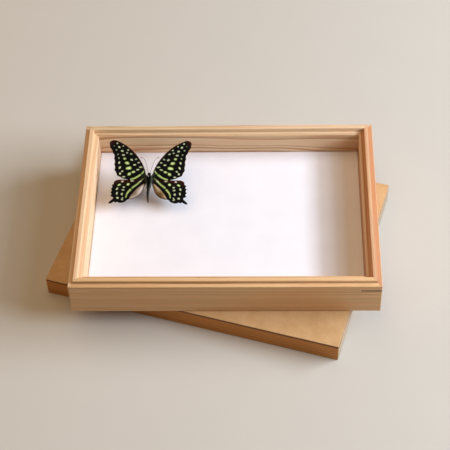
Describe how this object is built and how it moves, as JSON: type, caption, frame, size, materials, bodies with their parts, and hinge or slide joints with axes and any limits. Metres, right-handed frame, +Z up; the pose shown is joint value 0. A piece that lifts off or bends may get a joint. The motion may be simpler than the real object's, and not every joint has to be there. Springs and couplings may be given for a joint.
{
  "type": "insect collection drawer",
  "caption": "Shallow mitred pine insect drawer with white pinning foam and one pinned, spread butterfly, standing on its own lid turned slightly beneath it.",
  "frame": {"origin": "on the surface the lid stands on, under the middle of the lid", "axes": "+X to the right along the long front side, +Y to the back side, +Z up out of the open drawer"},
  "size_m": [0.3818, 0.3174, 0.0703],
  "materials": {
    "pine": "planed and sanded, clear matt",
    "dark_key": "planed, darker wood",
    "hardboard": "smooth pressed fibre, satin",
    "white_foam": "fine closed-cell foam, matt",
    "wing_scales": "dry scaled membrane, matt black with green spots",
    "insect_hair": "short hair and chitin",
    "pin_steel": "drawn wire, bright"
  },
  "bodies": {
    "root": {"drawer_side_front": "pine", "lid_side_front": "pine", "drawer_side_back": "pine", "lid_side_back": "pine", "drawer_side_left": "pine", "lid_side_left": "pine", "drawer_side_right": "pine", "lid_side_right": "pine", "corner_key_front_left": "pine", "corner_key_back_left": "pine", "corner_key_back_right": "pine", "corner_key_front_right": "dark_key", "drawer_bottom": "hardboard", "lid_board": "hardboard", "pinning_foam": "white_foam", "forewing_left": "wing_scales", "forewing_right": "wing_scales", "hindwing_left": "wing_scales", "hindwing_right": "wing_scales", "butterfly_body": "insect_hair", "antenna_left": "insect_hair", "antenna_right": "insect_hair", "insect_pin": "pin_steel"}
  },
  "joints": []
}
